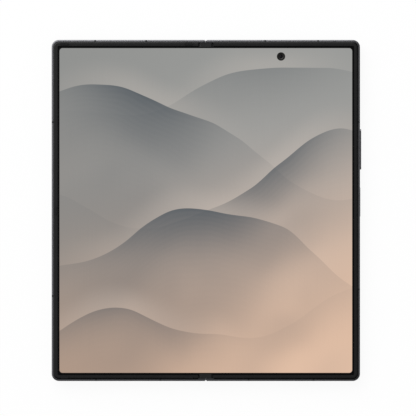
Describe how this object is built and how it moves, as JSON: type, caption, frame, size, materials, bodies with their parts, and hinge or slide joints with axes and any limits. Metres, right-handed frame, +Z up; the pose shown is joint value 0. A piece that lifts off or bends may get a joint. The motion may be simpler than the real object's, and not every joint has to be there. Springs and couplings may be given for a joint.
{
  "type": "foldable smartphone",
  "caption": "Book-style folding smartphone that opens flat on a geared hinge, with a flexible inner display, a cover screen and raised rear lenses.",
  "frame": {"origin": "under the middle of the hinge, on the surface that the open phone's camera rings rest on, display up", "axes": "+X across the halves towards the keys, +Y along the hinge towards the camera end, +Z up out of the display"},
  "size_m": [0.1438, 0.1584, 0.0067],
  "materials": {
    "rim_metal": "anodised dark grey, satin",
    "bezel_plastic": "matt black, raised lip",
    "display": null,
    "steel_plate": "thin rolled plate",
    "back_glass": "frosted black glass",
    "island_metal": "matt black anodised",
    "ring_metal": "turned dark metal ring",
    "lens_glass": "coated dark lens glass",
    "camera_plastic": "black camera housing",
    "flash_plastic": "milky diffuser",
    "board": "green circuit board",
    "shield_metal": "tinned cans",
    "battery_foil": "dark battery wrap",
    "plated_steel": "plated socket shell",
    "speaker_plastic": "black moulded box",
    "break_plastic": "black insert in the rim",
    "hinge_steel": "machined hinge steel",
    "spring_steel": "spring steel washers",
    "gear_brass": "small gears",
    "switch_gold": "gold plated switch domes",
    "coil_copper": "enamelled copper winding",
    "magnet_nickel": "nickel plated magnets",
    "cover_glass": "polished black cover glass",
    "cover_panel": "unlit cover display",
    "mesh_metal": "fine mesh",
    "spine_metal": "satin dark spine",
    "cap_plastic": "matt end plug",
    "pad_rubber": "soft pad",
    "flex_polyimide": "amber flexible circuit",
    "key_metal": "anodised key",
    "tray_metal": "anodised card tray"
  },
  "bodies": {
    "right_half": {"right_frame": "rim_metal", "right_bezel": "bezel_plastic", "display_right": "display", "right_backing_plate": "steel_plate", "back_glass": "back_glass", "camera_island": "island_metal", "lens_rings": "ring_metal", "lens_glasses": "lens_glass", "camera_modules": "camera_plastic", "flash_lens": "flash_plastic", "main_board": "board", "board_shields": "shield_metal", "right_battery": "battery_foil", "usb_c_socket": "plated_steel", "port_board": "board", "bottom_speaker": "speaker_plastic", "inner_camera": "camera_plastic", "right_antenna_breaks": "break_plastic", "right_rotators": "hinge_steel", "key_switches": "switch_gold", "right_screws": "hinge_steel", "vibration_motor": "shield_metal", "charging_coil": "coil_copper", "right_magnets": "magnet_nickel"},
    "spine": {"hinge_cover": "spine_metal", "hinge_caps": "cap_plastic", "hinge_bases": "hinge_steel", "hinge_shafts": "shield_metal", "disc_springs": "spring_steel", "display_fold": "display", "hinge_flex": "flex_polyimide"},
    "left_half": {"left_frame": "rim_metal", "left_bezel": "bezel_plastic", "display_left": "display", "left_backing_plate": "steel_plate", "cover_glass": "cover_glass", "cover_display": "cover_panel", "cover_camera": "camera_plastic", "earpiece_mesh": "mesh_metal", "left_battery": "battery_foil", "left_board": "board", "card_reader": "shield_metal", "left_antenna_breaks": "break_plastic", "left_rotators": "hinge_steel", "left_screws": "hinge_steel", "top_speaker": "speaker_plastic", "left_magnets": "magnet_nickel", "closing_pads": "pad_rubber"},
    "left_sync_arm": {"left_sync_arms": "hinge_steel"},
    "right_sync_arm": {"right_sync_arms": "hinge_steel"},
    "left_idler": {"left_idlers": "gear_brass"},
    "right_idler": {"right_idlers": "gear_brass"},
    "volume_rocker": {"volume_rocker": "key_metal"},
    "side_key": {"side_key": "key_metal"},
    "card_tray": {"card_tray": "tray_metal"}
  },
  "joints": [
    {"name": "right_fold", "type": "hinge", "parent": "spine", "child": "right_half", "pos_m": [0.00108, 0, 0.00558], "axis": [0, -1, 0], "range_deg": [0, 90], "deforming": ["display_fold", "hinge_flex"]},
    {"name": "left_fold", "type": "hinge", "parent": "spine", "child": "left_half", "pos_m": [-0.00108, 0, 0.00558], "axis": [0, 1, 0], "range_deg": [0, 90]},
    {"name": "right_arm_turn", "type": "hinge", "parent": "spine", "child": "right_sync_arm", "pos_m": [0.00184, 0.05, 0.00481], "axis": [0, -1, 0], "range_deg": [0, 90]},
    {"name": "left_arm_turn", "type": "hinge", "parent": "spine", "child": "left_sync_arm", "pos_m": [-0.00184, 0.05, 0.00481], "axis": [0, 1, 0], "range_deg": [0, 90]},
    {"name": "right_idler_turn", "type": "hinge", "parent": "spine", "child": "right_idler", "pos_m": [0.00055, 0.05, 0.00434], "axis": [0, 1, 0], "range_deg": [0, 135]},
    {"name": "left_idler_turn", "type": "hinge", "parent": "spine", "child": "left_idler", "pos_m": [-0.00055, 0.05, 0.00434], "axis": [0, -1, 0], "range_deg": [0, 135]},
    {"name": "volume_press", "type": "hinge", "parent": "right_half", "child": "volume_rocker", "pos_m": [0.0704, 0.0284, 0.00425], "axis": [0, 0, 1], "range_deg": [-1.2, 1.2], "stiffness_Nm_per_rad": 0.3},
    {"name": "side_press", "type": "slide", "parent": "right_half", "child": "side_key", "axis": [-1, 0, 0], "range_m": [0, 0.00015], "stiffness_N_per_m": 3000},
    {"name": "tray_slide", "type": "slide", "parent": "left_half", "child": "card_tray", "axis": [-1, 0, 0], "range_m": [0, 0.016]}
  ],
  "couplings": [
    {"joint": "left_fold", "follows": "right_fold", "ratio": 1},
    {"joint": "left_arm_turn", "follows": "right_fold", "ratio": 1},
    {"joint": "right_arm_turn", "follows": "right_fold", "ratio": 1},
    {"joint": "left_idler_turn", "follows": "right_fold", "ratio": 1.5},
    {"joint": "right_idler_turn", "follows": "right_fold", "ratio": 1.5}
  ]
}
